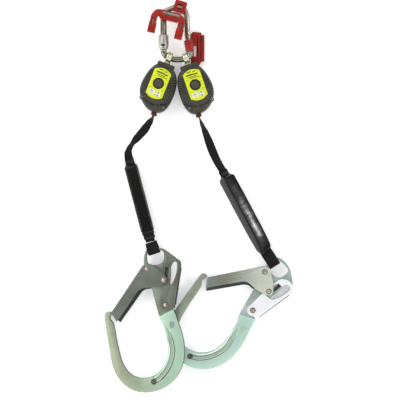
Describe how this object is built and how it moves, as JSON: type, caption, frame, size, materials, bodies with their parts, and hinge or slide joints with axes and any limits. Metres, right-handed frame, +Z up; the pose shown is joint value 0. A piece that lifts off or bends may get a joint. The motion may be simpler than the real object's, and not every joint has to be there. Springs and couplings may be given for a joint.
{
  "type": "shock absorbing lanyard",
  "caption": "Twin-leg fall-arrest lanyard: twist-lock carabiner with red bridge and keeper, retracting webbing units, shock packs and large scaffold hooks, laid flat.",
  "frame": {"origin": "middle of the lowest face of the box round the whole lanyard as it lies, on the surface it lies on", "axes": "+Z up off the surface; +Y up the lanyard from the hooks to the carabiner; +X across, from the leg that lies on top to the other"},
  "size_m": [0.3784, 0.7844, 0.0489],
  "materials": {
    "polished_steel": "polished, warm reflections",
    "satin_steel": "satin",
    "zinc_plate": "passivated zinc plate, satin, pale green to yellow",
    "rivet_steel": "bright, domed",
    "shell_nylon": "matte dark olive grey, ribbed",
    "dark_nylon": "matte",
    "label_yellow": "satin lime yellow print",
    "red_nylon": "satin",
    "black_webbing": "woven polyester",
    "black_film": "glossy shrink film"
  },
  "bodies": {
    "connector": {"carabiner_body": "polished_steel", "gate_hinge_pin": "satin_steel", "bridge_collar": "red_nylon"},
    "gate": {"carabiner_gate": "polished_steel", "sleeve_spring": "satin_steel"},
    "sleeve": {"twist_sleeve": "satin_steel"},
    "bridge": {"bridge_bar": "polished_steel", "bridge_jacket": "red_nylon"},
    "keeper": {"web_keeper": "red_nylon"},
    "left_case": {"left_front_shell": "shell_nylon", "left_rear_shell": "shell_nylon", "left_label_plate": "label_yellow", "left_hub_cap": "dark_nylon", "left_axle": "satin_steel", "left_main_spring": "satin_steel", "left_web_guide": "dark_nylon", "left_case_screw_1": "satin_steel", "left_case_screw_2": "satin_steel"},
    "left_eye": {"left_swivel_eye": "satin_steel"},
    "left_web": {"left_web_strap": "black_webbing", "left_web_stop": "red_nylon"},
    "left_drum": {"left_drum": "dark_nylon", "left_web_coil": "black_webbing", "left_ratchet": "satin_steel"},
    "left_pawl": {"left_pawl": "satin_steel"},
    "left_pack": {"left_shock_pack": "black_film", "left_tear_webbing": "black_webbing", "left_end_loop": "black_webbing"},
    "left_hook": {"left_hook_body": "zinc_plate", "left_gate_rivet": "rivet_steel", "left_lever_rivet": "rivet_steel"},
    "left_hook_gate": {"left_hook_gate": "zinc_plate", "left_latch_rivet": "rivet_steel"},
    "left_lever": {"left_lock_lever": "zinc_plate"},
    "right_case": {"right_front_shell": "shell_nylon", "right_rear_shell": "shell_nylon", "right_label_plate": "label_yellow", "right_hub_cap": "dark_nylon", "right_axle": "satin_steel", "right_main_spring": "satin_steel", "right_web_guide": "dark_nylon", "right_case_screw_1": "satin_steel", "right_case_screw_2": "satin_steel", "right_swivel_eye": "satin_steel"},
    "right_web": {"right_web_strap": "black_webbing", "right_web_stop": "red_nylon"},
    "right_drum": {"right_drum": "dark_nylon", "right_web_coil": "black_webbing", "right_ratchet": "satin_steel"},
    "right_pawl": {"right_pawl": "satin_steel"},
    "right_pack": {"right_shock_pack": "black_film", "right_tear_webbing": "black_webbing", "right_end_loop": "black_webbing"},
    "right_hook": {"right_hook_body": "zinc_plate", "right_gate_rivet": "rivet_steel", "right_lever_rivet": "rivet_steel"},
    "right_hook_gate": {"right_hook_gate": "zinc_plate", "right_latch_rivet": "rivet_steel"},
    "right_lever": {"right_lock_lever": "zinc_plate"}
  },
  "joints": [
    {"name": "gate_swing", "type": "hinge", "parent": "connector", "child": "gate", "pos_m": [-0.07074, 0.35824, 0.02311], "axis": [0, 0, 1], "range_deg": [0, 20], "stiffness_Nm_per_rad": 0.04, "springref_deg": -22.92},
    {"name": "sleeve_twist", "type": "hinge", "parent": "gate", "child": "sleeve", "pos_m": [-0.07074, 0.30724, 0.02311], "axis": [0, 1, 0], "range_deg": [0, 90], "stiffness_Nm_per_rad": 0.01, "springref_deg": -28.65},
    {"name": "bridge_swing", "type": "hinge", "parent": "connector", "child": "bridge", "pos_m": [-0.05724, 0.36004, 0.04131], "axis": [-0.9712, 0.2381, 0], "range_deg": [0, 75]},
    {"name": "keeper_slide", "type": "slide", "parent": "connector", "child": "keeper", "axis": [-0.1, 0.995, 0], "range_m": [0, 0.004]},
    {"name": "left_eye_swing", "type": "hinge", "parent": "connector", "child": "left_eye", "pos_m": [-0.05906, 0.27694, 0.02311], "axis": [-0.9304, 0.3665, 0], "range_deg": [0, 30]},
    {"name": "left_case_swivel", "type": "hinge", "parent": "left_eye", "child": "left_case", "pos_m": [-0.06364, 0.26531, 0.02311], "axis": [-0.3665, -0.9304, 0], "range_deg": [0, 4]},
    {"name": "left_web_payout", "type": "slide", "parent": "left_case", "child": "left_web", "axis": [-0.3665, -0.9304, 0], "range_m": [0, 0.022], "stiffness_N_per_m": 120, "springref_m": -0.03},
    {"name": "left_drum_turn", "type": "hinge", "parent": "left_case", "child": "left_drum", "pos_m": [-0.08013, 0.22344, 0.02311], "axis": [0, 0, 1], "range_deg": [0, 60]},
    {"name": "left_pawl_tilt", "type": "hinge", "parent": "left_case", "child": "left_pawl", "pos_m": [-0.06203, 0.20664, 0.02311], "axis": [0, 0, 1], "range_deg": [0, 12], "stiffness_Nm_per_rad": 0.002, "springref_deg": -17.19},
    {"name": "left_pack_swing", "type": "hinge", "parent": "left_web", "child": "left_pack", "pos_m": [-0.13964, 0.07234, 0.01011], "axis": [0, 0, -1], "range_deg": [0, 25]},
    {"name": "left_hook_swing", "type": "hinge", "parent": "left_pack", "child": "left_hook", "pos_m": [-0.08806, -0.11596, 0.02184], "axis": [0.1323, 0, -0.9912], "range_deg": [0, 3]},
    {"name": "left_hook_gate_swing", "type": "hinge", "parent": "left_hook", "child": "left_hook_gate", "pos_m": [-0.10254, -0.14516, 0.01991], "axis": [-0.1323, 0, 0.9912], "range_deg": [0, 30], "stiffness_Nm_per_rad": 0.25, "springref_deg": -28.65},
    {"name": "left_lever_squeeze", "type": "hinge", "parent": "left_hook", "child": "left_lever", "pos_m": [-0.06537, -0.21656, 0.02487], "axis": [-0.1323, 0, 0.9912], "range_deg": [0, 8], "stiffness_Nm_per_rad": 0.2, "springref_deg": -17.19},
    {"name": "right_case_rock", "type": "hinge", "parent": "connector", "child": "right_case", "pos_m": [-0.02585, 0.27521, 0.02311], "axis": [0, 0, 1], "range_deg": [0, 2.5]},
    {"name": "right_web_payout", "type": "slide", "parent": "right_case", "child": "right_web", "axis": [0.3256, -0.9455, 0], "range_m": [0, 0.022], "stiffness_N_per_m": 120, "springref_m": -0.03},
    {"name": "right_drum_turn", "type": "hinge", "parent": "right_case", "child": "right_drum", "pos_m": [-0.00713, 0.22084, 0.02311], "axis": [0, 0, 1], "range_deg": [-60, 0]},
    {"name": "right_pawl_tilt", "type": "hinge", "parent": "right_case", "child": "right_pawl", "pos_m": [-0.02595, 0.20484, 0.02311], "axis": [0, 0, 1], "range_deg": [-12, 0], "stiffness_Nm_per_rad": 0.002, "springref_deg": 17.19},
    {"name": "right_pack_swing", "type": "hinge", "parent": "right_web", "child": "right_pack", "pos_m": [0.04886, 0.04864, 0.01511], "axis": [0, 0, 1], "range_deg": [0, 25]},
    {"name": "right_hook_swing", "type": "hinge", "parent": "right_pack", "child": "right_hook", "pos_m": [0.15336, -0.14053, 0.01091], "axis": [0, 0, 1], "range_deg": [0, 2]},
    {"name": "right_hook_gate_swing", "type": "hinge", "parent": "right_hook", "child": "right_hook_gate", "pos_m": [0.13187, -0.15156, 0.01091], "axis": [0, 0, 1], "range_deg": [0, 30], "stiffness_Nm_per_rad": 0.25, "springref_deg": -28.65},
    {"name": "right_lever_squeeze", "type": "hinge", "parent": "right_hook", "child": "right_lever", "pos_m": [0.10789, -0.22856, 0.01091], "axis": [0, 0, 1], "range_deg": [0, 8], "stiffness_Nm_per_rad": 0.2, "springref_deg": -17.19}
  ],
  "couplings": [
    {"joint": "left_drum_turn", "follows": "left_web_payout", "rad_per_m": 40.816},
    {"joint": "right_drum_turn", "follows": "right_web_payout", "rad_per_m": -40.816}
  ]
}
